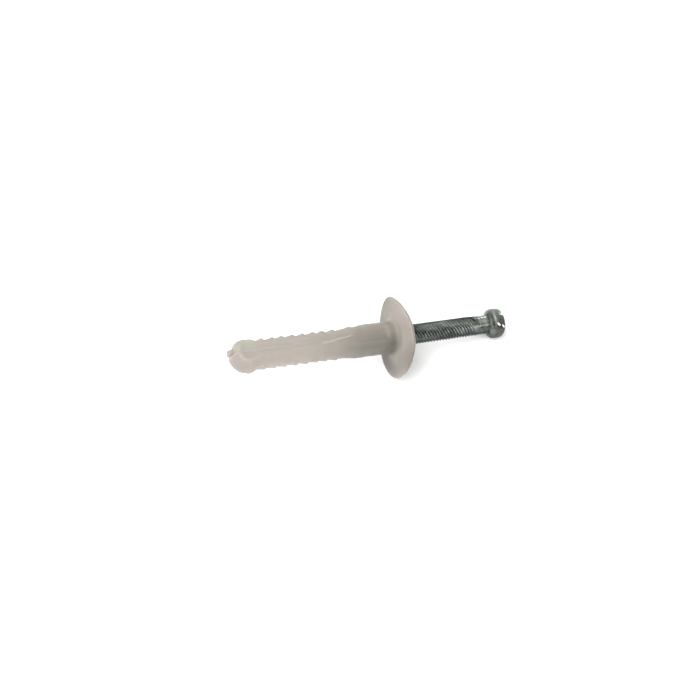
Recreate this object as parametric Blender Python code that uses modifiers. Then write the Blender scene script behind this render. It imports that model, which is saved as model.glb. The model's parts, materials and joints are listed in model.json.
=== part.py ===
"""Nylon nail-in wall plug with its steel drive screw, lying as it comes to rest.

Both pieces are modelled in one frame: z = 0 is the flat bearing face under the mushroom
head, +z runs towards the screw's head and -z towards the plug's tip. The plug's split lies
in its XZ plane, so its two legs are at +Y and -Y, and the flats of its shank face +X and -X.
The leg at -Y is the shorter one.
The empty plug_axis then lays the pair down on the rim of the mushroom head and on the rim
of the screw's head, which is how the loose fixing comes to rest.
"""

import math

import bmesh
import bpy
from mathutils import Matrix, Vector

MM = 0.001
SEGMENTS = 32  # sides of every turned shape
HALF_STEP = math.pi / SEGMENTS
ROUND = 1 / math.cos(HALF_STEP)  # the sides, not the corners, lie at the stated radius

# Plug: mushroom head (millimetres)
HEAD_R = 7.70
HEAD_EDGE = 0.42  # thickness of the head at its rim
DOME_RISE = 2.75
EDGE_ROUND = 0.18

# Plug: shank, barbs and bulb
COLLAR_R = 3.15
COLLAR_END = -7.0
WAIST_R = 2.62
WAIST_Z = -10.6
BARBS = 8
FIRST_BARB = -12.07  # crest of the barb next to the head
BARB_PITCH = 1.944
BARB_R = 2.87
ROOT_R = 2.52
BULB_R = 3.10
BULB_TOP = -27.75
BULB_SHOULDER = -29.2
TIP = -32.2  # of the longer leg
SHORT_TIP = -31.2  # of the shorter leg, which is blunt and carries the stub
FLAT_NEAR = 2.74  # half the width across the flats, near the head
FLAT_TIP = 2.50  # and at the tip
STUB_R = 0.76
STUB_END = -32.1
STUB_Y = -0.78

# Plug: bore and split
BORE_R = 2.03
BORE_END = -9.8
BORE_POINT = -14.4
MOUTH_R = 2.42
MOUTH_DEPTH = 0.55
SLIT = 0.15  # half the width of the closed split
WINDOW_TOP = -8.2
WINDOW = 0.30  # half the width of the split where it opens over the bore

# Screw
SCREW_HEAD_R = 2.90
SCREW_TOP = 22.3
SCREW_UNDER = 20.2
NECK_R = 1.84
NECK_END = 16.4
THREAD_R = 1.92  # over the crests of the thread
CONE_TOP = -9.3
POINT = -13.2
DRIVE_SLOT_W = 1.05
DRIVE_SLOT_D = 1.15

# How the pieces are turned about the axis as they lie: each has a side of its polygon down
PLUG_ROLL = math.radians(196.875)
SCREW_ROLL = math.radians(185.625)


def clear_scene():
    for old in list(bpy.data.objects):
        bpy.data.objects.remove(old, do_unlink=True)


def new_collection(name):
    made = bpy.data.collections.new(name)
    bpy.context.scene.collection.children.link(made)
    return made


def material(name, colour, roughness, metallic=0.0, subsurface=0.0):
    made = bpy.data.materials.new(name)
    made.use_nodes = True
    shader = made.node_tree.nodes["Principled BSDF"]
    shader.inputs["Base Color"].default_value = (*colour, 1)
    shader.inputs["Roughness"].default_value = roughness
    shader.inputs["Metallic"].default_value = metallic
    shader.inputs["Subsurface Weight"].default_value = subsurface
    shader.inputs["Subsurface Scale"].default_value = 2 * MM
    return made


def turned(name, profile, collection, scale=ROUND):
    """A closed turned shape from (radius, z) points that run down its outer side."""
    mesh = bpy.data.meshes.new(name)
    points = [Vector((r * scale * MM, 0, z * MM)) for r, z in profile]
    mesh.from_pydata(points, [(i, i + 1) for i in range(len(points) - 1)], [])
    made = bpy.data.objects.new(name, mesh)
    collection.objects.link(made)
    spin = made.modifiers.new("turn", "SCREW")
    spin.axis = "Z"
    spin.angle = math.tau
    spin.steps = spin.render_steps = SEGMENTS
    spin.use_merge_vertices = True
    spin.merge_threshold = 1e-6
    return made


def prism(name, outline, half_depth, collection, plane):
    """A flat outline in millimetres, extruded both ways out of its plane ("XZ" or "YZ")."""
    curve = bpy.data.curves.new(name, "CURVE")
    curve.dimensions = "2D"
    curve.fill_mode = "BOTH"
    curve.extrude = half_depth * MM
    spline = curve.splines.new("POLY")
    spline.points.add(len(outline) - 1)
    for point, (a, b) in zip(spline.points, outline):
        point.co = (a * MM, b * MM, 0, 1)
    spline.use_cyclic_u = True
    guide = bpy.data.objects.new(name + "_outline", curve)
    collection.objects.link(guide)
    guide.rotation_euler = (
        (math.pi / 2, 0, 0) if plane == "XZ" else (math.pi / 2, 0, math.pi / 2)
    )
    bpy.context.view_layer.update()
    evaluated = guide.evaluated_get(bpy.context.evaluated_depsgraph_get())
    mesh = bpy.data.meshes.new_from_object(evaluated)
    mesh.transform(guide.matrix_world)
    shape = bmesh.new()
    shape.from_mesh(mesh)
    bmesh.ops.remove_doubles(shape, verts=shape.verts, dist=1e-7)
    bmesh.ops.recalc_face_normals(shape, faces=shape.faces)
    shape.to_mesh(mesh)
    shape.free()
    bpy.data.objects.remove(guide, do_unlink=True)
    bpy.data.curves.remove(curve)
    made = bpy.data.objects.new(name, mesh)
    collection.objects.link(made)
    return made


def combine(target, tool, operation):
    step = target.modifiers.new(tool.name, "BOOLEAN")
    step.operation = operation
    step.solver = "EXACT"
    step.object = tool
    tool.hide_render = True
    tool.display_type = "WIRE"


def arc(centre, radius, start, end, count):
    """Points on an arc in the (radius, z) plane, angles in degrees from +radius."""
    return [
        (
            centre[0] + radius * math.cos(math.radians(start + (end - start) * i / count)),
            centre[1] + radius * math.sin(math.radians(start + (end - start) * i / count)),
        )
        for i in range(count + 1)
    ]


def dome_height(r):
    """Height of the mushroom head's dome above its rim's upper edge, at a radius."""
    ball = (HEAD_R**2 + DOME_RISE**2) / (2 * DOME_RISE)
    return math.sqrt(ball**2 - r**2) - (ball - DOME_RISE)


def head_profile():
    """The mushroom head, from the axis over the dome and round the rim to the bearing face."""
    top = HEAD_EDGE
    dome = [
        (HEAD_R * 0.97 * i / 7, top + dome_height(HEAD_R * 0.97 * i / 7))
        for i in range(8)
    ]
    rim = arc((HEAD_R - EDGE_ROUND, EDGE_ROUND), EDGE_ROUND, 40, -90, 4)
    return dome + rim


def barb_profile():
    """Saw teeth: each swells gently towards the head and drops steeply behind its crest."""
    points = []
    for i in range(BARBS):
        crest = FIRST_BARB - i * BARB_PITCH
        points += [
            (ROOT_R, crest + 0.42),
            (BARB_R - 0.05, crest + 0.12),
            (BARB_R, crest - 0.10),
            (ROOT_R + 0.14, crest - 0.80),
        ]
    return points


def plug_profile():
    collar = [
        (COLLAR_R + 0.42, 0.0),
        (COLLAR_R + 0.13, -0.10),
        (COLLAR_R, -0.50),
        (COLLAR_R, COLLAR_END),
        (COLLAR_R - 0.16, COLLAR_END - 1.1),
        (WAIST_R + 0.07, WAIST_Z + 0.9),
        (WAIST_R, WAIST_Z),
    ]
    bulb = [
        (ROOT_R, BULB_TOP + 0.45),
        (BULB_R - 0.15, BULB_TOP),
        (BULB_R, BULB_TOP - 0.9),
        (BULB_R - 0.12, BULB_SHOULDER - 0.3),
        (BULB_R - 0.30, BULB_SHOULDER - 1.1),
        (BULB_R - 0.65, BULB_SHOULDER - 1.7),
        (BULB_R - 1.25, BULB_SHOULDER - 2.3),
        (1.2, TIP + 0.25),
        (0.7, TIP),
        (0.0, TIP),
    ]
    return head_profile() + collar + barb_profile() + bulb


def screw_profile():
    return [
        (0.0, SCREW_TOP),
        (SCREW_HEAD_R - 0.42, SCREW_TOP),
        (SCREW_HEAD_R - 0.12, SCREW_TOP - 0.14),
        (SCREW_HEAD_R, SCREW_TOP - 0.45),
        (SCREW_HEAD_R, SCREW_UNDER + 0.10),
        (SCREW_HEAD_R - 0.10, SCREW_UNDER),
        (NECK_R + 0.62, SCREW_UNDER - 0.26),
        (NECK_R + 0.18, SCREW_UNDER - 0.62),
        (NECK_R, SCREW_UNDER - 1.15),
        (NECK_R, NECK_END),
        (THREAD_R, NECK_END - 0.4),
        (THREAD_R, CONE_TOP),
        (0.10, POINT + 0.06),
        (0.0, POINT),
    ]


def bore_profile():
    mouth = HEAD_EDGE + dome_height(MOUTH_R)
    return [
        (0.0, mouth + 2.0),
        (MOUTH_R, mouth + 2.0),
        (MOUTH_R, mouth - 0.10),
        (BORE_R, mouth - MOUTH_DEPTH),
        (BORE_R, BORE_END),
        (0.0, BORE_POINT),
    ]


def split_outline():
    """Half-width along the axis: a pointed window over the bore, then the closed split."""
    half = [
        (0.0, WINDOW_TOP),
        (WINDOW * 0.62, WINDOW_TOP - 0.7),
        (WINDOW, WINDOW_TOP - 1.6),
        (WINDOW * 0.94, WINDOW_TOP - 2.7),
        (WINDOW * 0.80, WINDOW_TOP - 4.1),
        (SLIT * 1.25, WINDOW_TOP - 5.3),
        (SLIT, WINDOW_TOP - 6.6),
        (SLIT, STUB_END - 1.5),
    ]
    return half + [(-y, z) for y, z in reversed(half[1:])]


def flat_outline(side):
    """What is cut off one side of the shank, running out below the mushroom head."""
    return [
        (side * FLAT_TIP, STUB_END - 1.0),
        (side * (FLAT_TIP + 4), STUB_END - 1.0),
        (side * (FLAT_TIP + 4), -0.75),
        (side * (COLLAR_R + 0.25), -0.75),
        (side * FLAT_NEAR, -2.3),
    ]


def lowest(profile, tilt):
    """How far a turned profile reaches below the axis when the axis dips by tilt."""
    return max(z * math.sin(tilt) + r * math.cos(tilt) for r, z in profile)


def rest_tilt():
    """The dip of the axis at which the two heads' rims stand on one level."""
    low, high = 0.0, math.radians(30)
    for _ in range(60):
        tilt = (low + high) / 2
        if lowest(head_profile(), tilt) > lowest(screw_profile(), tilt):
            low = tilt
        else:
            high = tilt
    return (low + high) / 2


def stand_on_floor(axis, pieces):
    """Moves the pair so that the middle of its box's underside is at the origin."""
    bpy.context.view_layer.update()
    graph = bpy.context.evaluated_depsgraph_get()
    corners = []
    for piece in pieces:
        evaluated = piece.evaluated_get(graph)
        corners += [evaluated.matrix_world @ v.co for v in evaluated.to_mesh().vertices]
        evaluated.to_mesh_clear()
    low = [min(c[i] for c in corners) for i in range(3)]
    high = [max(c[i] for c in corners) for i in range(3)]
    axis.location -= Vector(((low[0] + high[0]) / 2, (low[1] + high[1]) / 2, low[2]))


def shade(obj):
    obj.data.shade_smooth()
    obj.data.set_sharp_from_angle(angle=math.radians(35))


def main():
    clear_scene()
    parts = new_collection("nylon_wall_plug")
    cutters = new_collection("cutters")

    plug = turned("plug_body", plug_profile(), parts)
    bore = turned("bore", bore_profile(), cutters)
    combine(plug, bore, "DIFFERENCE")
    for side, name in ((1, "flat_front"), (-1, "flat_back")):
        flat = prism(name, flat_outline(side), 6.0, cutters, "XZ")
        flat.parent = plug
        combine(plug, flat, "DIFFERENCE")
    bpy.ops.mesh.primitive_cube_add(size=1)
    blunt = bpy.context.object
    blunt.name = "short_leg_end"
    for home in list(blunt.users_collection):
        home.objects.unlink(blunt)
    cutters.objects.link(blunt)
    blunt.data.transform(Matrix.Diagonal((12 * MM, 6 * MM, 8 * MM, 1)))
    blunt.location.y = -3.0 * MM
    blunt.location.z = (SHORT_TIP - 4.0) * MM
    combine(plug, blunt, "DIFFERENCE")
    stub = turned(
        "gate_stub",
        [(0.0, SHORT_TIP + 0.6), (STUB_R + 0.06, SHORT_TIP + 0.6), (STUB_R, STUB_END + 0.15), (STUB_R - 0.15, STUB_END), (0.0, STUB_END)],
        cutters,
        1.0,
    )
    stub.location.y = STUB_Y * MM
    combine(plug, stub, "UNION")
    split = prism("split", split_outline(), 6.0, cutters, "YZ")
    combine(plug, split, "DIFFERENCE")

    screw = turned("drive_screw", screw_profile(), parts)
    bpy.ops.mesh.primitive_cube_add(size=1)
    slot = bpy.context.object
    slot.name = "drive_slot"
    for home in list(slot.users_collection):
        home.objects.unlink(slot)
    cutters.objects.link(slot)
    slot.data.transform(Matrix.Diagonal((8 * MM, DRIVE_SLOT_W * MM, 4 * MM, 1)))
    slot.location.z = (SCREW_TOP - DRIVE_SLOT_D + 2.0) * MM
    slot.rotation_euler.z = -HALF_STEP
    combine(screw, slot, "DIFFERENCE")

    for tool in (bore, blunt, stub, split):
        tool.parent = plug
    slot.parent = screw

    tilt = rest_tilt()
    axis = bpy.data.objects.new("plug_axis", None)
    parts.objects.link(axis)
    axis.rotation_euler = (0, math.pi / 2 + tilt, 0)
    for piece, roll in ((plug, PLUG_ROLL), (screw, SCREW_ROLL)):
        piece.parent = axis
        piece.rotation_euler.z = roll
        shade(piece)

    stand_on_floor(axis, (plug, screw))

    plug.data.materials.append(material("nylon", (0.62, 0.585, 0.53), 0.42, 0.0, 0.6))
    screw.data.materials.append(material("zinc_plated_steel", (0.40, 0.43, 0.42), 0.34, 1.0))


main()
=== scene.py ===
import json
import math

import bmesh
import bpy
import numpy as np
from mathutils import Matrix, Vector


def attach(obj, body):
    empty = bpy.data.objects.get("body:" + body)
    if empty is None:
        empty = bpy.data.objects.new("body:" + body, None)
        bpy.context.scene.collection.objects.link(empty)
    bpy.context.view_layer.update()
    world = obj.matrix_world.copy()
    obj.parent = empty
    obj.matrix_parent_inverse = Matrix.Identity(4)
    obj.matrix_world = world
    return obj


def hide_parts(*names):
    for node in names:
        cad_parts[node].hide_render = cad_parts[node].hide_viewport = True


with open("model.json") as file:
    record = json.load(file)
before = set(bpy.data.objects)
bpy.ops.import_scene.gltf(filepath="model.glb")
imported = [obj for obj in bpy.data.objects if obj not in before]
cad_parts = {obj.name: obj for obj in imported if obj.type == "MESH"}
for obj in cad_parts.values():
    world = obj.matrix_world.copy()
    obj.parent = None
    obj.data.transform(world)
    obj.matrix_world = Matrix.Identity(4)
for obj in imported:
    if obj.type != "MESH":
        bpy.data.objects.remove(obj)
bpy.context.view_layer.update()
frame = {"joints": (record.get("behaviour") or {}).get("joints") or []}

MM = 0.001

# The fixing's own frame at rest: z = 0 on the bearing face, +z towards the screw's head
RIM_CENTRE = Vector((4.64612, 0.0, 7.56005)) * MM
DRIVE = Vector(frame["joints"][0]["axis"]).normalized()
AXIS = -DRIVE
DOWN = Vector((0, 1, 0)).cross(AXIS)
PLUG_ROLL = math.radians(196.875)
LEAN_ABOUT = Vector((0.159, -0.632, 0.757))
SCREW_ROLL = math.radians(180.0)

# Plug (millimetres)
HEAD_R = 7.69
HEAD_EDGE = 0.42
DOME_RISE = 2.75
EDGE_ROUND = 0.20
BORE_R = 2.03
BORE_END = -9.8
BORE_POINT = -14.4
MOUTH_R = 2.42
WARP = ((0, 0.0, 0.080), (1, 0.279, -0.021), (2, 0.349, -0.118), (3, -0.097, 0.043))
SLIT = 0.010
WINDOW_TOP = -8.2
FILLET = 0.032
FRONT_CRESTS = (12.18, 14.17, 15.93, 17.87, 19.93, 22.02, 24.06, 26.08)
BACK_CRESTS = (12.08, 14.14, 15.92, 17.98, 19.90, 21.99, 23.76, 25.86)

# Screw (millimetres)
SCREW_HEAD_R = 2.90
SCREW_TOP = 22.82
NECK_R = 1.84
THREAD_R = 1.92
THREAD_DEPTH = 0.17
STARTS = 10
LEAD = 6.20
SLOT_W = 1.05
SLOT_D = 1.15


def local_frame(roll):
    """The matrix of a piece's own frame, turned about the axis by roll."""
    turn = Matrix((DOWN, Vector((0, 1, 0)), AXIS)).transposed().to_4x4()
    return Matrix.Translation(RIM_CENTRE) @ turn @ Matrix.Rotation(roll, 4, "Z")


def make_object(name, mesh, roll):
    """An object at the origin whose mesh, made in a piece's own frame, is moved to its place."""
    mesh.transform(local_frame(roll))
    made = bpy.data.objects.new(name, mesh)
    bpy.context.scene.collection.objects.link(made)
    return made


def closed_grid(name, rows):
    """A closed mesh from rows of points (an array of rows x around x 3, mm), with a pole at each end."""
    count, around = rows.shape[:2]
    verts = [tuple(p * MM) for p in rows.reshape(-1, 3)]
    first = rows[0].mean(axis=0) * MM
    last = rows[-1].mean(axis=0) * MM
    verts += [tuple(first), tuple(last)]
    a, b = len(verts) - 2, len(verts) - 1
    faces = []
    for j in range(count - 1):
        for i in range(around):
            k = (i + 1) % around
            faces.append((j * around + i, (j + 1) * around + i, (j + 1) * around + k, j * around + k))
    for i in range(around):
        k = (i + 1) % around
        faces.append((a, i, k))
        faces.append((b, (count - 1) * around + k, (count - 1) * around + i))
    mesh = bpy.data.meshes.new(name)
    mesh.from_pydata(verts, [], faces)
    shape = bmesh.new()
    shape.from_mesh(mesh)
    bmesh.ops.recalc_face_normals(shape, faces=shape.faces)
    shape.to_mesh(mesh)
    shape.free()
    return mesh


def boolean(target, tool, operation):
    """Applies an exact Boolean of tool to target and removes the tool."""
    step = target.modifiers.new("cut", "BOOLEAN")
    step.operation = operation
    step.solver = "EXACT"
    step.object = tool
    bpy.context.view_layer.update()
    result = bpy.data.meshes.new_from_object(target.evaluated_get(bpy.context.evaluated_depsgraph_get()))
    target.modifiers.clear()
    old = target.data
    target.data = result
    bpy.data.meshes.remove(old)
    bpy.data.objects.remove(tool, do_unlink=True)


def smooth_shade(obj, angle):
    obj.data.shade_smooth()
    obj.data.set_sharp_from_angle(angle=math.radians(angle))


def smooth_curve(u, values, width):
    """values over an even u, blurred by a Gaussian of that width."""
    step = u[1] - u[0]
    half = int(4 * width / step) + 1
    x = np.arange(-half, half + 1) * step
    kernel = np.exp(-0.5 * (x / width) ** 2)
    kernel /= kernel.sum()
    padded = np.concatenate([np.full(half, values[0]), values, np.full(half, values[-1])])
    return np.convolve(padded, kernel, mode="valid")


def split_width(z):
    """Half the width of the split: a little open over the bore, then pressed shut."""
    at = WINDOW_TOP - z
    return np.interp(
        at,
        (0.0, 0.35, 0.9, 1.8, 3.2, 4.6, 5.8, 7.2, 30.0),
        (0.0, 0.02, 0.035, 0.045, 0.05, 0.045, 0.03, SLIT, SLIT),
        left=0.0,
    )


def leg_radius(crests, start, high, root):
    """Radius of one leg's outer side, with barbs and without, at an even step below the head."""
    u = np.arange(0.0, 28.6, 0.01)
    neck = [(0.0, 3.88), (0.12, 3.70), (0.30, 3.46), (0.60, 3.26), (1.0, 3.17), (1.6, 3.15)]
    points = neck + start + [(crests[0] - 0.62, root + 0.03)]
    for crest in crests:
        top = high + 0.035 * math.sin(7.3 * crest)
        points += [
            (crest - 0.46, root + 0.02 * math.sin(3.1 * crest)),
            (crest - 0.13, top - 0.05),
            (crest, top + 0.01),
            (crest + 0.18, top - 0.04),
            (crest + 0.62, root + 0.13 + 0.03 * math.cos(5.1 * crest)),
        ]
    points += [(crests[-1] + 1.1, root), (28.6, root)]
    barbed = np.interp(u, [p[0] for p in points], [p[1] for p in points])
    points = neck + [(7.0, 3.15), (8.1, 2.99), (9.7, 2.78), (10.6, 2.70), (12.0, 2.66), (24.0, 2.66), (25.6, 2.71), (27.2, 2.84), (28.6, 2.95)]
    plain = np.interp(u, [p[0] for p in points], [p[1] for p in points])
    return u, smooth_curve(u, barbed, 0.045), smooth_curve(u, plain, 0.12)


def around_angles():
    """Angles round the axis: dense beside the split at 0 and 180 degrees, with none on it, and at the seams."""
    near = [0.15, 0.42, 0.75, 1.15, 1.65, 2.25, 3.0, 3.9, 4.9, 6.0, 7.3, 8.8, 10.4, 12.2, 14.2]
    rest = np.linspace(16.2, 87.6, 34)
    quarter = np.concatenate([near, rest, [88.6, 89.4, 90.0]])
    half = np.concatenate([quarter, 180 - quarter[-2::-1]])
    return np.radians(np.concatenate([half, 180 + half]))


def smooth_min(a, b, k):
    h = np.clip(0.5 + 0.5 * (b - a) / k, 0, 1)
    return b * (1 - h) + a * h - k * h * (1 - h)


def lead_in(side, z):
    """Depth of the slanting hollow beside the split where the two legs leave the collar."""
    along = np.clip((-8.3 - z) / 6.6, 0, 1)
    lower = -0.52 + 0.66 * along
    width = np.interp(along, (0, 0.12, 0.45, 0.8, 1.0), (0.25, 0.55, 0.80, 0.62, 0.2))
    deep = np.interp(along, (0, 0.10, 0.40, 0.75, 1.0), (0.0, 0.10, 0.17, 0.20, 0.0))
    across = (lower - side) / width
    shape = np.where(across < 0, np.exp(-((across * width / 0.20) ** 2)), np.exp(-((across / 0.62) ** 2)))
    return deep * shape


def plug_mesh():
    """The moulded plug as one closed shape, bore included, before its split is cut."""
    angles = around_angles()
    front = np.sin(angles) > 0
    ball = (HEAD_R**2 + DOME_RISE**2) / (2 * DOME_RISE)

    def dome(r):
        return HEAD_EDGE + math.sqrt(ball**2 - r**2) - (ball - DOME_RISE)

    inner = [(0.04, BORE_POINT)]
    inner += [(BORE_R * t, BORE_POINT + (BORE_END - BORE_POINT) * t) for t in np.linspace(0.08, 0.97, 9)]
    inner += [(BORE_R, z) for z in np.linspace(BORE_END, 2.26, 26)]
    mouth = dome(MOUTH_R)
    inner += [
        (BORE_R + 0.01, 2.33), (BORE_R + 0.05, 2.40), (BORE_R + 0.12, 2.48), (BORE_R + 0.22, 2.58),
        (MOUTH_R - 0.08, mouth - 0.22), (MOUTH_R - 0.02, mouth - 0.12), (MOUTH_R + 0.02, mouth - 0.045),
        (MOUTH_R + 0.08, dome(MOUTH_R + 0.08) - 0.005),
    ]
    top = [(r, dome(r)) for r in np.linspace(MOUTH_R + 0.18, HEAD_R * 0.965, 22)]
    centre = (HEAD_R - EDGE_ROUND, EDGE_ROUND)
    rim = [
        (centre[0] + EDGE_ROUND * math.cos(t), centre[1] + EDGE_ROUND * math.sin(t))
        for t in np.radians(np.linspace(48, -90, 12))
    ]
    under = [(r, 0.0) for r in np.linspace(7.35, 4.36, 12)]
    under += [(4.16, -0.008), (4.00, -0.03), (3.84, -0.075)]

    rows = []
    for r, z in inner + top + rim + under:
        ring = np.stack([r * np.cos(angles), r * np.sin(angles), np.full_like(angles, z)], axis=1)
        rows.append(ring)

    u_front, r_front, plain_front = leg_radius(FRONT_CRESTS, [(7.0, 3.14), (8.1, 2.98), (9.7, 2.76), (10.6, 2.66)], 2.82, 2.56)
    u_back, r_back, plain_back = leg_radius(BACK_CRESTS, [(6.6, 3.14), (7.15, 2.98), (7.5, 2.90), (8.2, 2.88), (8.5, 2.91), (8.9, 3.02), (9.15, 3.01), (9.45, 2.90), (9.9, 2.83), (10.6, 2.74)], 2.92, 2.59)
    # the barbs stand on the legs' outer sides and run out towards the flats
    off = np.abs((np.degrees(angles) - 100.0 + 90.0) % 180.0 - 90.0)
    barbed = np.clip((35.0 - off) / 15.0, 0, 1)
    barbed = barbed * barbed * (3 - 2 * barbed)
    shank = np.concatenate([
        np.linspace(0.14, 1.2, 9), np.linspace(1.5, 6.2, 14), np.linspace(6.4, 11.3, 44), np.arange(11.38, 27.2, 0.082),
    ])
    lobe_front = [
        (2.56, 27.24), (2.58, 27.42), (2.68, 27.62), (2.83, 27.86), (2.96, 28.10), (3.06, 28.38), (3.14, 28.74), (3.18, 29.05),
        (3.10, 29.40), (2.98, 29.80), (2.88, 30.20), (2.68, 30.60), (2.40, 30.95), (2.10, 31.25), (1.78, 31.55), (1.38, 31.85),
        (0.98, 32.05), (0.55, 32.16), (0.20, 32.19), (0.04, 32.195),
    ]
    lobe_back = [
        (2.60, 27.26), (2.66, 27.40), (2.78, 27.55), (2.90, 27.70), (2.97, 27.92), (3.01, 28.25), (3.04, 28.60), (3.06, 29.00),
        (3.05, 29.45), (3.00, 29.85), (2.93, 30.18), (2.80, 30.48), (2.62, 30.74), (2.36, 30.98), (2.05, 31.16), (1.65, 31.31),
        (1.18, 31.42), (0.70, 31.48), (0.30, 31.50), (0.04, 31.50),
    ]
    levels = []
    for u in shank:
        rf = np.interp(u, u_front, plain_front) * (1 - barbed) + np.interp(u, u_front, r_front) * barbed
        rb = np.interp(u, u_back, plain_back) * (1 - barbed) + np.interp(u, u_back, r_back) * barbed
        levels.append((rf, u, rb, u))
    # each lobe steps out from its barbed side, and runs smoothly into the flats
    for (rf, uf), (rb, ub) in zip(lobe_front, lobe_back):
        wide_f = max(rf, 2.84 + 0.10 * (uf - 27.2)) if uf < 29.05 else rf
        wide_b = max(rb, 2.84) if ub < 27.8 else rb
        levels.append((wide_f * (1 - barbed) + rf * barbed, uf, wide_b * (1 - barbed) + rb * barbed, ub))
    for rf, uf, rb, ub in levels:
        r = np.where(front, rf, rb)
        z = -np.where(front, uf, ub)
        # the flats
        run_out = np.interp(-z, (0.6, 2.4, 9.0, 32.0), (4.4, 2.76, 2.66, 2.50))
        flat = run_out / np.maximum(np.abs(np.cos(angles)), 1e-6)
        r = r - 0.27 * np.clip(np.sin(angles), 0, 1) ** 1.5 * np.interp(-z, (0.3, 0.9, 6.0, 8.6), (0.0, 1.0, 1.0, 0.0))
        r = smooth_min(r, flat, 0.10)
        # rounded edges along the split
        width = split_width(z)
        gap = np.abs(r * np.sin(angles)) - width
        inside = np.clip(FILLET - gap, 0, FILLET)
        drop = FILLET - np.sqrt(np.maximum(FILLET**2 - inside**2, 0))
        r = r - np.where(z < WINDOW_TOP + 0.3, drop, 0)
        r = np.maximum(r - lead_in(r * np.sin(angles) * np.sign(np.cos(angles)), z), 0.02)
        # the mould's parting line along the two legs
        seam = 0.022 * np.exp(-((np.abs(np.cos(angles)) * r / 0.055) ** 2)) * np.clip((-z - 0.5) / 0.5, 0, 1) * np.clip((31.0 + z) / 1.0, 0, 1)
        r = r + seam
        rows.append(np.stack([r * np.cos(angles), r * np.sin(angles), z], axis=1))
    rows = np.array(rows)

    # a moulding is never quite true: slow waves of a few hundredths of a millimetre on the shank
    z = rows[..., 2]
    phi = np.arctan2(rows[..., 1], rows[..., 0])
    outside = np.zeros(len(rows), bool)
    outside[len(inner) + len(top) + len(rim) + len(under):] = True
    wave = 0.018 * np.sin(1.9 * z + 2 * phi + 0.6) + 0.012 * np.sin(3.7 * z - 3 * phi) + 0.010 * np.sin(0.8 * z + phi + 2.0)
    wave *= outside[:, None] * np.clip((-z - 0.8) / 2, 0, 1)
    radial = np.stack([np.cos(phi), np.sin(phi), np.zeros_like(phi)], axis=-1)
    near_axis = np.clip(np.hypot(rows[..., 0], rows[..., 1]) / 2.0, 0, 1)
    rows = rows + radial * (wave * near_axis)[..., None]

    # the thin head has warped a little in cooling: one side stands back, the two beside it forward
    turn = phi + PLUG_ROLL
    bend = sum(a * np.sin(n * turn) + b * np.cos(n * turn) for n, a, b in WARP)
    share = np.clip((np.hypot(rows[..., 0], rows[..., 1]) - 3.6) / (HEAD_R - 3.6), 0, 1) ** 1.5
    on_head = np.clip((z + 0.2) / 0.1, 0, 1)
    rows[..., 2] += bend * share * on_head
    return closed_grid("plug_shape", rows)


def split_cutter():
    """A prism whose outline is the split, seen along the local X axis."""
    at = np.concatenate([np.linspace(0.0, 7.0, 48), [30.0]])
    half = [(split_width(WINDOW_TOP - a), WINDOW_TOP - a) for a in at]
    half[0] = (0.0, WINDOW_TOP)
    outline = [(float(w), float(z)) for w, z in half] + [(-float(w), float(z)) for w, z in half[:0:-1]]
    shape = bmesh.new()
    near = [shape.verts.new((-6 * MM, y * MM, z * MM)) for y, z in outline]
    far = [shape.verts.new((6 * MM, y * MM, z * MM)) for y, z in outline]
    n = len(outline)
    shape.faces.new(near)
    shape.faces.new(far[::-1])
    for i in range(n):
        k = (i + 1) % n
        shape.faces.new((near[i], far[i], far[k], near[k]))
    bmesh.ops.recalc_face_normals(shape, faces=shape.faces)
    mesh = bpy.data.meshes.new("split_shape")
    shape.to_mesh(mesh)
    shape.free()
    return mesh


def stub_mesh():
    """The moulding gate's short broken stub on the tip of the shorter leg."""
    angles = np.linspace(0, math.tau, 40, endpoint=False)
    rows = []
    for i, (r, u) in enumerate([(0.05, 30.70), (0.96, 30.75), (0.94, 31.05), (0.90, 31.25), (0.85, 31.42), (0.80, 31.62), (0.76, 31.84), (0.72, 32.05), (0.64, 32.20), (0.50, 32.29), (0.30, 32.32), (0.08, 32.30)]):
        rough = 1 + 0.07 * np.sin(3 * angles + 0.7 * i) + 0.04 * np.sin(7 * angles - i)
        lift = 0.05 * np.sin(angles + 1.0) * (u > 31.7)
        rows.append(np.stack([r * rough * np.cos(angles), -0.80 + r * rough * np.sin(angles), -u + lift], axis=1))
    return closed_grid("stub_shape", np.array(rows))


def build_plug():
    plug = make_object("nylon_plug", plug_mesh(), PLUG_ROLL)
    stub = make_object("stub", stub_mesh(), PLUG_ROLL)
    boolean(plug, stub, "UNION")
    cutter = make_object("split", split_cutter(), PLUG_ROLL)
    boolean(plug, cutter, "DIFFERENCE")
    smooth_shade(plug, 38)
    return plug


def ridge(phase):
    """Height of the thread over its phase, 0 to 1: rounded crests and wider grooves."""
    wave = 0.5 + 0.5 * np.cos(math.tau * phase)
    return wave ** 1.25


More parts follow.
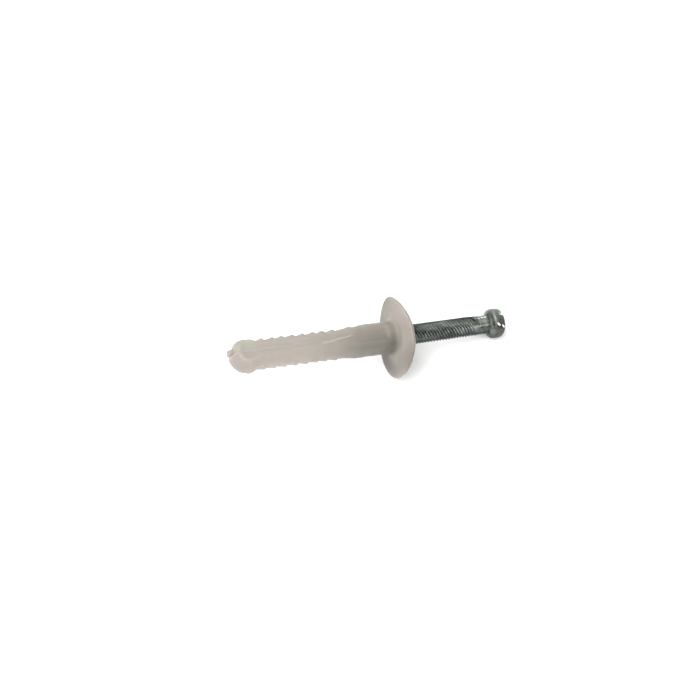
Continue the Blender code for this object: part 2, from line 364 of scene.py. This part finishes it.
def screw_mesh():
    around = 24 * STARTS
    base = np.linspace(0, math.tau, around, endpoint=False)
    start = np.floor(base * STARTS / math.tau + 0.5) % STARTS
    rows = []
    tip = [(0.03, -13.19), (0.10, -13.12)] + [(THREAD_R * t, -13.2 + 3.9 * t) for t in np.linspace(0.12, 0.96, 15)]
    z_thread = np.arange(-9.2, 18.5, 0.14)
    levels = [(r, z, 0.25 * r / THREAD_R) for r, z in tip] + [(THREAD_R, z, 1.0) for z in z_thread]
    for r, z, amount in levels:
        twist = math.tau * z / LEAD
        angle = base + twist
        fade = amount * np.clip((17.5 - z + 0.7 * np.sin(angle - 2.5) + 0.25 * np.sin(2.0 * start)) / 1.5, 0, 1)
        # the plain strip that the rolling dies left along the lower side
        strip = (angle - math.radians(77) + math.pi) % math.tau - math.pi
        plain = np.exp(-((strip / math.radians(15)) ** 4)) * np.clip((9.0 - z) / 1.5, 0, 1)
        uneven = 1 + 0.12 * np.sin(1.7 * z + 2.1 * start) + 0.10 * np.sin(5.3 * z + 4.0 * start + 1.0) + 0.06 * np.sin(3 * angle + 0.9 * z)
        wander = 0.035 * np.sin(2.9 * z + 1.3 * start) + 0.02 * np.sin(7.1 * z - 2.2 * start)
        depth = THREAD_DEPTH * fade * uneven * (1 - ridge(base * STARTS / math.tau + wander))
        depth = depth * (1 - plain) + amount * plain * (0.055 - 0.035 * np.exp(-((strip / math.radians(5)) ** 2)))
        swell = -(THREAD_R - NECK_R) * np.clip((z - 15.2) / 2.6, 0, 1)
        dents = 0.010 * amount * np.sin(4.1 * z + 5 * angle) * np.sin(2.3 * z - 3 * angle + 1.0)
        rr = np.minimum(r - np.maximum(depth, 0) + swell + dents, THREAD_R)
        rows.append(np.stack([rr * np.cos(angle), rr * np.sin(angle), np.full_like(angle, z)], axis=1))
    twist = math.tau * 18.5 / LEAD
    head = [
        (NECK_R, 18.7), (NECK_R, 19.0), (NECK_R + 0.02, 19.3), (NECK_R + 0.06, 19.6), (NECK_R + 0.14, 19.85),
        (NECK_R + 0.26, 20.06), (NECK_R + 0.42, 20.23), (NECK_R + 0.60, 20.38), (NECK_R + 0.77, 20.51), (2.73, 20.63), (2.81, 20.76),
        (2.86, 20.92), (2.885, 21.10), (2.895, 21.30), (2.90, 21.52), (2.90, 21.74), (2.893, 21.94), (2.87, 22.12), (2.83, 22.28),
        (2.77, 22.44), (2.68, 22.58), (2.56, 22.69), (2.40, 22.765), (2.20, 22.805), (1.95, 22.82), (1.5, 22.82), (1.0, 22.82), (0.5, 22.82), (0.04, 22.82),
    ]
    for r, z in head:
        angle = base + twist
        out = 0.012 * np.sin(3 * angle + 1.1) * (r > 2.7)
        knocks = 0.018 * np.sin(5 * angle + 3.1 * z) * np.sin(2 * angle - 1.7 * z) * (r > 2.3)
        rr = np.minimum(r + out + knocks - 0.012 * (r > 2.7), SCREW_HEAD_R)
        rows.append(np.stack([rr * np.cos(angle), rr * np.sin(angle), np.full_like(angle, z)], axis=1))
    return closed_grid("screw_shape", np.array(rows))


def slot_cutter():
    """The driver slot: flat sides that spread a little, and a flat floor."""
    half, deep = SLOT_W / 2, SCREW_TOP - SLOT_D
    outline = [(-half * 0.94, deep), (half * 0.94, deep), (half, deep + 0.3), (half * 1.03, 23.4), (-half * 1.03, 23.4), (-half, deep + 0.3)]
    shape = bmesh.new()
    near = [shape.verts.new((-4 * MM, y * MM, z * MM)) for y, z in outline]
    far = [shape.verts.new((4 * MM, y * MM, z * MM)) for y, z in outline]
    n = len(outline)
    shape.faces.new(near)
    shape.faces.new(far[::-1])
    for i in range(n):
        k = (i + 1) % n
        shape.faces.new((near[i], far[i], far[k], near[k]))
    bmesh.ops.recalc_face_normals(shape, faces=shape.faces)
    mesh = bpy.data.meshes.new("slot_shape")
    shape.to_mesh(mesh)
    shape.free()
    return mesh


def build_screw():
    screw = make_object("steel_screw", screw_mesh(), SCREW_ROLL)
    cutter = make_object("slot", slot_cutter(), SCREW_ROLL)
    boolean(screw, cutter, "DIFFERENCE")
    # the bore is a little wide, so the screw leans in it by half a degree
    lean = Matrix.Rotation(math.radians(0.55), 4, LEAN_ABOUT)
    middle = Matrix.Translation(RIM_CENTRE - 5.0 * MM * AXIS)
    screw.data.transform(middle @ lean @ middle.inverted())
    smooth_shade(screw, 40)
    return screw


def noise(tree, coords, scale, detail=3.0, roughness=0.55):
    made = tree.nodes.new("ShaderNodeTexNoise")
    made.inputs["Scale"].default_value = scale
    made.inputs["Detail"].default_value = detail
    made.inputs["Roughness"].default_value = roughness
    tree.links.new(coords, made.inputs["Vector"])
    return made.outputs["Fac"]


def ramp(tree, factor, stops):
    made = tree.nodes.new("ShaderNodeValToRGB")
    made.color_ramp.interpolation = "EASE"
    while len(made.color_ramp.elements) < len(stops):
        made.color_ramp.elements.new(0.5)
    for element, (at, colour) in zip(made.color_ramp.elements, stops):
        element.position = at
        element.color = (*colour, 1) if len(colour) == 3 else (colour[0],) * 3 + (1,)
    tree.links.new(factor, made.inputs["Fac"])
    return made.outputs["Color"]


def map_range(tree, value, low, high, to_low, to_high):
    made = tree.nodes.new("ShaderNodeMapRange")
    for socket, number in (("From Min", low), ("From Max", high), ("To Min", to_low), ("To Max", to_high)):
        made.inputs[socket].default_value = number
    tree.links.new(value, made.inputs["Value"])
    return made.outputs["Result"]


def mix(tree, factor, a, b, mode="MIX"):
    made = tree.nodes.new("ShaderNodeMix")
    made.data_type = "RGBA"
    made.blend_type = mode
    for socket, value in ((made.inputs[0], factor), (made.inputs[6], a), (made.inputs[7], b)):
        if hasattr(value, "is_output"):
            tree.links.new(value, socket)
        else:
            socket.default_value = value
    return made.outputs[2]


def stretched(tree, coords, scale):
    made = tree.nodes.new("ShaderNodeMapping")
    made.inputs["Scale"].default_value = scale
    tree.links.new(coords, made.inputs["Vector"])
    return made.outputs["Vector"]


def new_material(name, roll):
    """A material whose coordinates are the piece's own frame, in metres."""
    made = bpy.data.materials.new(name)
    made.use_nodes = True
    tree = made.node_tree
    shader = tree.nodes["Principled BSDF"]
    place = local_frame(roll).inverted()
    own = tree.nodes.new("ShaderNodeMapping")
    own.inputs["Rotation"].default_value = place.to_euler("XYZ")
    own.inputs["Location"].default_value = place.to_translation()
    tree.links.new(tree.nodes.new("ShaderNodeTexCoord").outputs["Object"], own.inputs["Vector"])
    return made, tree, shader, own.outputs["Vector"]


def bump(tree, shader, layers):
    """Stacks bump nodes from (height, strength, distance in metres) layers."""
    last = None
    for height, strength, distance in layers:
        made = tree.nodes.new("ShaderNodeBump")
        made.inputs["Strength"].default_value = strength
        made.inputs["Distance"].default_value = distance
        tree.links.new(height, made.inputs["Height"])
        if last is not None:
            tree.links.new(last, made.inputs["Normal"])
        last = made.outputs["Normal"]
    tree.links.new(last, shader.inputs["Normal"])


def axes(tree, coords):
    """The coordinates one by one, and the distance from the piece's axis."""
    split = tree.nodes.new("ShaderNodeSeparateXYZ")
    tree.links.new(coords, split.inputs["Vector"])
    flat = tree.nodes.new("ShaderNodeCombineXYZ")
    tree.links.new(split.outputs["X"], flat.inputs["X"])
    tree.links.new(split.outputs["Y"], flat.inputs["Y"])
    length = tree.nodes.new("ShaderNodeVectorMath")
    length.operation = "LENGTH"
    tree.links.new(flat.outputs["Vector"], length.inputs[0])
    return split.outputs["X"], split.outputs["Y"], split.outputs["Z"], length.outputs["Value"]


def math_node(tree, operation, a, b):
    made = tree.nodes.new("ShaderNodeMath")
    made.operation = operation
    for socket, value in zip(made.inputs, (a, b)):
        if hasattr(value, "is_output"):
            tree.links.new(value, socket)
        else:
            socket.default_value = value
    return made.outputs[0]


def grey(tree, value):
    """A grey colour from a value."""
    made = tree.nodes.new("ShaderNodeCombineColor")
    for socket in made.inputs:
        if socket.type == "VALUE":
            tree.links.new(value, socket)
    return made.outputs["Color"]


def curve(tree, value, low, high, points):
    """A smooth function of value: points are (value, result), results between 0 and 1."""
    stops = [((at - low) / (high - low), (result,) * 3) for at, result in points]
    return ramp(tree, map_range(tree, value, low, high, 0.0, 1.0), stops)


def nylon():
    made, tree, shader, coords = new_material("natural_nylon", PLUG_ROLL)
    x, y, z, radius = axes(tree, coords)
    cloud = noise(tree, coords, 170, 2.0, 0.5)
    warm = ramp(tree, cloud, [(0.34, (0.305, 0.285, 0.252)), (0.50, (0.314, 0.282, 0.254)), (0.64, (0.324, 0.288, 0.266))])
    fine = noise(tree, stretched(tree, coords, (1.0, 1.0, 0.35)), 1600, 4.0, 0.6)
    shade = ramp(tree, fine, [(0.30, (0.955, 0.955, 0.95)), (0.70, (1.0, 1.0, 1.0))])
    colour = mix(tree, 1.0, warm, shade, "MULTIPLY")

    # painted shade: the steel inside seen through the wall as a grey-green shadow, deepest next to the head
    drift = math_node(tree, "MULTIPLY_ADD", noise(tree, coords, 330, 2.0, 0.5), 0.0)
    drift.node.inputs[1].default_value = 2.4 * MM
    drift.node.inputs[2].default_value = -1.2 * MM
    along = math_node(tree, "ADD", z, drift)
    shadow = ramp(tree, map_range(tree, along, -20.0 * MM, 0.0, 0.0, 1.0), [
        (0.00, (0.99, 0.985, 0.99)), (0.20, (0.915, 0.905, 0.91)), (0.34, (0.80, 0.805, 0.795)), (0.50, (0.615, 0.64, 0.61)),
        (0.65, (0.505, 0.525, 0.505)), (0.80, (0.453, 0.472, 0.445)), (0.92, (0.455, 0.475, 0.436)), (1.00, (0.525, 0.54, 0.495)),
    ])
    # painted shade: darker towards the lower side, where the steel blocks the light from above
    across = curve(tree, y, -3.0 * MM, 3.0 * MM, [(-3.0 * MM, 0.22), (-1.4 * MM, 0.50), (-0.3 * MM, 0.66), (0.6 * MM, 0.78), (1.4 * MM, 0.94), (2.2 * MM, 1.0), (3.0 * MM, 1.0)])
    below = math_node(tree, "MULTIPLY", map_range(tree, z, 0.0, 0.2 * MM, 1.0, 0.0), map_range(tree, radius, 3.2 * MM, 4.2 * MM, 1.0, 0.0))
    amount = math_node(tree, "MULTIPLY", across, below)
    amount = math_node(tree, "MULTIPLY", amount, map_range(tree, y, 2.9 * MM, 3.6 * MM, 1.0, 0.35))
    side = math_node(tree, "MULTIPLY", y, math_node(tree, "SIGN", x, 0.0))
    # painted shade: less of the steel's shadow on the upper leg beyond the split
    clear = math_node(tree, "MULTIPLY", map_range(tree, side, 0.10 * MM, -0.45 * MM, 0.0, 1.0), map_range(tree, z, -8.2 * MM, -9.6 * MM, 0.0, 1.0))
    amount = math_node(tree, "MULTIPLY", amount, map_range(tree, clear, 0.0, 1.0, 1.0, 0.80))
    colour = mix(tree, 1.0, colour, mix(tree, amount, (1, 1, 1, 1), shadow), "MULTIPLY")

    # painted highlight: a light streak along the edge of the hollow by the split
    line = math_node(tree, "MULTIPLY_ADD", z, 0.0)
    line.node.inputs[1].default_value = -0.1113
    line.node.inputs[2].default_value = -1.40 * MM
    off = math_node(tree, "ABSOLUTE", math_node(tree, "SUBTRACT", side, line), 0.0)
    reach = map_range(tree, z, -9.0 * MM, -14.0 * MM, 0.16 * MM, 0.34 * MM)
    near = map_range(tree, math_node(tree, "DIVIDE", off, reach), 0.35, 1.25, 1.0, 0.0)
    highlight_run = curve(tree, z, -15.6 * MM, -8.4 * MM, [(-15.6 * MM, 0.0), (-14.6 * MM, 0.75), (-12.5 * MM, 1.0), (-10.0 * MM, 0.9), (-8.4 * MM, 0.0)])
    highlight_streak = math_node(tree, "MULTIPLY", math_node(tree, "MULTIPLY", near, highlight_run), 0.62)
    colour = mix(tree, highlight_streak, colour, (0.44, 0.418, 0.375, 1))
    pale = math_node(tree, "MULTIPLY", map_range(tree, z, -26.4 * MM, -28.8 * MM, 0.0, 1.0), map_range(tree, y, 0.1 * MM, -0.6 * MM, 0.0, 0.85))
    pale = math_node(tree, "MULTIPLY", pale, map_range(tree, z, -31.35 * MM, -31.6 * MM, 1.0, 0.0))
    colour = mix(tree, pale, colour, (0.318, 0.316, 0.266, 1))
    tips = map_range(tree, z, -29.0 * MM, -31.5 * MM, 1.0, 0.83)
    colour = mix(tree, 1.0, colour, grey(tree, tips), "MULTIPLY")
    # light leaks out along the closed split
    leak = map_range(tree, math_node(tree, "ABSOLUTE", y, 0.0), 0.05 * MM, 0.24 * MM, 1.13, 1.0)
    closed = map_range(tree, z, -14.0 * MM, -18.0 * MM, 0.0, 1.0)
    colour = mix(tree, closed, colour, mix(tree, 1.0, colour, grey(tree, leak), "MULTIPLY"))
    # painted shade on the head: darker towards one side and at its thin rim
    on_head = map_range(tree, z, -0.6 * MM, 0.0, 0.0, 1.0)
    side_shade = curve(tree, y, -7.6 * MM, 7.6 * MM, [(-7.6 * MM, 0.875), (-2.0 * MM, 0.89), (3.0 * MM, 0.83), (5.0 * MM, 0.67), (6.2 * MM, 0.575), (7.6 * MM, 0.53)])
    rim_shade = map_range(tree, radius, 7.25 * MM, 7.6 * MM, 1.0, 0.84)
    head_painted_shade = math_node(tree, "MULTIPLY", side_shade, rim_shade)
    colour = mix(tree, on_head, colour, mix(tree, 1.0, colour, grey(tree, head_painted_shade), "MULTIPLY"))
    # painted shade on the flange's underside: darker towards one edge and towards the rim
    shade_slope = math_node(tree, "ADD", math_node(tree, "MULTIPLY", x, 48.0), math_node(tree, "MULTIPLY", y, 11.0))
    bowl = math_node(tree, "MULTIPLY", math_node(tree, "MULTIPLY", radius, radius), -5300.0)
    flange_painted_shade = math_node(tree, "MAXIMUM", math_node(tree, "ADD", math_node(tree, "ADD", shade_slope, bowl), 0.965), 0.60)
    # painted light in the nook beside the collar, lifting the painted shade there
    nook = math_node(tree, "MULTIPLY", map_range(tree, radius, 4.3 * MM, 5.9 * MM, 0.32, 0.0), map_range(tree, y, 1.4 * MM, 2.6 * MM, 0.0, 1.0))
    nook = math_node(tree, "MULTIPLY", nook, map_range(tree, x, 0.1 * MM, -2.2 * MM, 0.15, 1.0))
    flange_painted_shade = math_node(tree, "ADD", flange_painted_shade, nook)
    flange = math_node(tree, "MULTIPLY", on_head, map_range(tree, z, 0.30 * MM, 0.90 * MM, 1.0, 0.0))
    colour = mix(tree, flange, colour, mix(tree, 1.0, colour, grey(tree, flange_painted_shade), "MULTIPLY"))

    # painted shade: the steel's shadow shows as a faint ring on the head too, round the bore
    ring = map_range(tree, radius, 2.2 * MM, 4.6 * MM, 0.30, 0.0)
    above = map_range(tree, z, 0.3 * MM, 0.5 * MM, 0.0, 1.0)
    colour = mix(tree, math_node(tree, "MULTIPLY", ring, above), colour, (0.16, 0.163, 0.145, 1))
    tree.links.new(colour, shader.inputs["Base Color"])

    rough = noise(tree, coords, 420, 3.0, 0.6)
    tree.links.new(map_range(tree, rough, 0.3, 0.7, 0.42, 0.58), shader.inputs["Roughness"])
    shader.inputs["Subsurface Weight"].default_value = 1.0
    shader.inputs["Subsurface Radius"].default_value = (1.0, 0.92, 0.80)
    shader.inputs["Subsurface Scale"].default_value = 1.6 * MM
    shader.inputs["IOR"].default_value = 1.50
    shader.inputs["Specular IOR Level"].default_value = 0.36
    grain = noise(tree, coords, 5200, 3.0, 0.6)
    flow = noise(tree, stretched(tree, coords, (1.0, 1.0, 0.22)), 900, 3.0, 0.55)
    bump(tree, shader, [(flow, 0.30, 0.04 * MM), (grain, 0.16, 0.02 * MM)])
    return made


def zinc_steel():
    made, tree, shader, coords = new_material("zinc_plated_steel", SCREW_ROLL)
    x, y, z, radius = axes(tree, coords)
    groove = map_range(tree, radius, (THREAD_R - THREAD_DEPTH) * MM, (THREAD_R - 0.02) * MM, 0.0, 1.0)
    patch = noise(tree, coords, 560, 4.0, 0.62)
    plate = ramp(tree, patch, [(0.30, (0.074, 0.085, 0.082)), (0.46, (0.131, 0.148, 0.139)), (0.60, (0.178, 0.193, 0.181)), (0.76, (0.209, 0.205, 0.190))])
    fine = noise(tree, coords, 3000, 4.0, 0.65)
    mottled = mix(tree, 1.0, plate, ramp(tree, fine, [(0.34, (0.60, 0.60, 0.60)), (0.60, (1.08, 1.08, 1.06))]), "MULTIPLY")
    # painted shade in the thread's grooves and a painted highlight on its crests
    groove_shade_crest_sheen = ramp(tree, groove, [(0.0, (0.27, 0.28, 0.275)), (0.55, (0.72, 0.72, 0.72)), (0.95, (1.45, 1.44, 1.39))])
    colour = mix(tree, 1.0, mottled, groove_shade_crest_sheen, "MULTIPLY")
    # painted light and shade on the plating by side: lit and shaded bands along the thread, the neck and the head,
    # darkest on the flare under the head
    turned = math_node(tree, "SUBTRACT", math_node(tree, "MULTIPLY", x, 0.632), math_node(tree, "MULTIPLY", y, 0.775))
    side = math_node(tree, "DIVIDE", turned, radius)
    low = curve(tree, side, -1.0, 1.0, [(-1.0, 0.12), (-0.80, 0.20), (-0.50, 0.46), (-0.20, 0.50), (0.0, 0.42), (0.35, 0.25), (0.7, 0.19), (1.0, 0.22)])
    shank = curve(tree, side, -1.0, 1.0, [(-1.0, 0.09), (-0.80, 0.16), (-0.55, 0.74), (-0.10, 1.12), (0.12, 0.66), (0.35, 0.23), (0.7, 0.10), (1.0, 0.12)])
    neck = curve(tree, side, -1.0, 1.0, [(-1.0, 0.14), (-0.8, 0.25), (-0.5, 1.45), (-0.3, 1.80), (-0.1, 0.44), (0.2, 0.62), (0.45, 1.90), (0.7, 1.35), (1.0, 1.0)])
    flare = curve(tree, side, -1.0, 1.0, [(-1.0, 0.17), (-0.65, 0.38), (-0.3, 0.38), (0.0, 0.12), (0.3, 0.10), (0.6, 0.17), (1.0, 0.48)])
    head_painted_light = curve(tree, side, -1.0, 1.0, [(-1.0, 0.17), (-0.6, 0.20), (-0.2, 0.13), (0.05, 0.20), (0.3, 0.42), (0.6, 0.52), (1.0, 0.82)])
    painted_side_light = mix(tree, map_range(tree, z, 9.5 * MM, 13.5 * MM, 0.0, 1.0), low, shank)
    painted_side_light = mix(tree, map_range(tree, z, 16.6 * MM, 18.0 * MM, 0.0, 1.0), painted_side_light, neck)
    painted_side_light = mix(tree, map_range(tree, z, 19.0 * MM, 19.7 * MM, 0.0, 1.0), painted_side_light, flare)
    painted_side_light = mix(tree, map_range(tree, z, 20.3 * MM, 20.9 * MM, 0.0, 1.0), painted_side_light, head_painted_light)
    colour = mix(tree, 1.0, colour, mix(tree, 1.0, painted_side_light, (2.0, 2.0, 2.0, 1), "MULTIPLY"), "MULTIPLY")
    # painted highlight: bright glints on the crests along one side
    glint_band = curve(tree, side, -1.0, 1.0, [(-0.85, 0.0), (-0.55, 1.0), (-0.05, 1.0), (0.12, 0.0)])
    crest = map_range(tree, groove, 0.55, 0.98, 0.0, 1.0)
    reach = math_node(tree, "MULTIPLY", map_range(tree, z, 10.5 * MM, 13.5 * MM, 0.0, 1.0), map_range(tree, z, 15.9 * MM, 17.2 * MM, 1.0, 0.0))
    flecks = map_range(tree, patch, 0.42, 0.58, 0.25, 1.0)
    amount = math_node(tree, "MULTIPLY", math_node(tree, "MULTIPLY", glint_band, crest), math_node(tree, "MULTIPLY", reach, flecks))
    colour = mix(tree, math_node(tree, "MULTIPLY", amount, 0.55), colour, (0.62, 0.63, 0.60, 1))
    # two painted glints on the head
    facing = math_node(tree, "ADD", math_node(tree, "MULTIPLY", x, 0.775), math_node(tree, "MULTIPLY", y, 0.632))
    near_side = map_range(tree, facing, 0.4 * MM, 0.8 * MM, 0.0, 1.0)
    for at_z, at_side in ((21.13, -0.07), (22.15, -0.55)):
        dz = math_node(tree, "SUBTRACT", z, at_z * MM)
        ds = math_node(tree, "SUBTRACT", turned, at_side * MM)
        run = math_node(tree, "MULTIPLY", math_node(tree, "SUBTRACT", dz, ds), 0.70 / (0.42 * MM))
        width = math_node(tree, "MULTIPLY", math_node(tree, "ADD", dz, ds), 0.70 / (0.15 * MM))
        far = math_node(tree, "ADD", math_node(tree, "MULTIPLY", run, run), math_node(tree, "MULTIPLY", width, width))
        painted_glint = math_node(tree, "MULTIPLY", map_range(tree, far, 0.5, 1.3, 1.0, 0.0), near_side)
        colour = mix(tree, painted_glint, colour, (0.93, 0.93, 0.90, 1))
    # the end of the head is browner and a little lighter towards one side
    brown = math_node(tree, "MULTIPLY", map_range(tree, z, 20.6 * MM, 21.8 * MM, 0.0, 0.75), map_range(tree, side, 0.2, -0.4, 0.0, 1.0))
    colour = mix(tree, brown, colour, mix(tree, 1.0, colour, (1.22, 1.06, 1.0, 1), "MULTIPLY"))
    tree.links.new(colour, shader.inputs["Base Color"])
    shader.inputs["Metallic"].default_value = 1.0
    # the head is duller than the shank
    head = map_range(tree, z, 19.2 * MM, 20.6 * MM, 0.0, 1.0)
    dull = math_node(tree, "MULTIPLY", head, 0.16)
    tree.links.new(math_node(tree, "ADD", map_range(tree, fine, 0.3, 0.7, 0.22, 0.40), dull), shader.inputs["Roughness"])
    dents = noise(tree, coords, 1300, 3.0, 0.6)
    bump(tree, shader, [(dents, 0.75, 0.05 * MM), (fine, 0.45, 0.016 * MM)])
    return made


def floor():
    mesh = bpy.data.meshes.new("floor")
    size = 1.6
    mesh.from_pydata([(-size, -size, 0), (size, -size, 0), (size, size, 0), (-size, size, 0)], [], [(0, 1, 2, 3)])
    made = bpy.data.objects.new("floor", mesh)
    bpy.context.scene.collection.objects.link(made)
    material = bpy.data.materials.new("pale_floor")
    material.use_nodes = True
    shader = material.node_tree.nodes["Principled BSDF"]
    shader.inputs["Base Color"].default_value = (0.97, 0.97, 0.97, 1)
    shader.inputs["Roughness"].default_value = 0.8
    shader.inputs["Specular IOR Level"].default_value = 0.1
    mesh.materials.append(material)


def area_light(name, place, target, size, power, colour=(1, 1, 1)):
    data = bpy.data.lights.new(name, "AREA")
    data.shape = "RECTANGLE"
    data.size, data.size_y = size
    data.energy = power
    data.color = colour
    made = bpy.data.objects.new(name, data)
    bpy.context.scene.collection.objects.link(made)
    made.location = place
    made.rotation_euler = (Vector(target) - Vector(place)).to_track_quat("-Z", "Y").to_euler()


def lights():
    world = bpy.data.worlds.new("studio")
    bpy.context.scene.world = world
    world.use_nodes = True
    back = world.node_tree.nodes["Background"]
    back.inputs["Color"].default_value = (0.98, 1.0, 0.99, 1)
    back.inputs["Strength"].default_value = 0.33
    area_light("key", (-0.30, -0.30, 0.58), (0, 0, 0), (0.60, 0.60), 6.8)
    area_light("top", (-0.30, 0.16, 0.64), (0, 0, 0), (0.60, 0.60), 4.1)
    area_light("fill", (0.42, -0.58, 0.38), (0, 0, 0), (0.30, 0.30), 1.8)
    area_light("back", (0.40, 0.66, 0.36), (0, 0, 0), (0.20, 0.12), 0.8)


def camera():
    """The photograph's view: a level camera that looks down on the fixing from the front left."""
    focal_px, width_px = 1200.0, 682.0
    azimuth, elevation = math.radians(-19.518), math.radians(51.526)
    across, above, distance = 5.400 * MM, -3.568 * MM, 229.742 * MM
    forward = Vector((-math.sin(azimuth) * math.cos(elevation), math.cos(azimuth) * math.cos(elevation), -math.sin(elevation)))
    right = Vector((math.cos(azimuth), math.sin(azimuth), 0))
    up = right.cross(forward)
    data = bpy.data.cameras.new("camera")
    data.sensor_fit = "HORIZONTAL"
    data.sensor_width = 36.0
    data.lens = 36.0 * focal_px / width_px
    data.clip_start, data.clip_end = 0.01, 10.0
    made = bpy.data.objects.new("camera", data)
    bpy.context.scene.collection.objects.link(made)
    turn = Matrix((right, up, -forward)).transposed().to_4x4()
    made.matrix_world = Matrix.Translation(-distance * forward - across * right - above * up) @ turn
    bpy.context.scene.camera = made


plug = build_plug()
plug.data.materials.clear()
plug.data.materials.append(nylon())
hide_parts("plug_body")
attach(plug, "plug")

screw = build_screw()
screw.data.materials.clear()
screw.data.materials.append(zinc_steel())
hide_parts("drive_screw")
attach(screw, "screw")

floor()
lights()
camera()
bpy.context.scene.view_settings.view_transform = "Standard"

for made in (plug, screw):
    made.data.calc_loop_triangles()
    print(made.name, len(made.data.loop_triangles), "triangles")
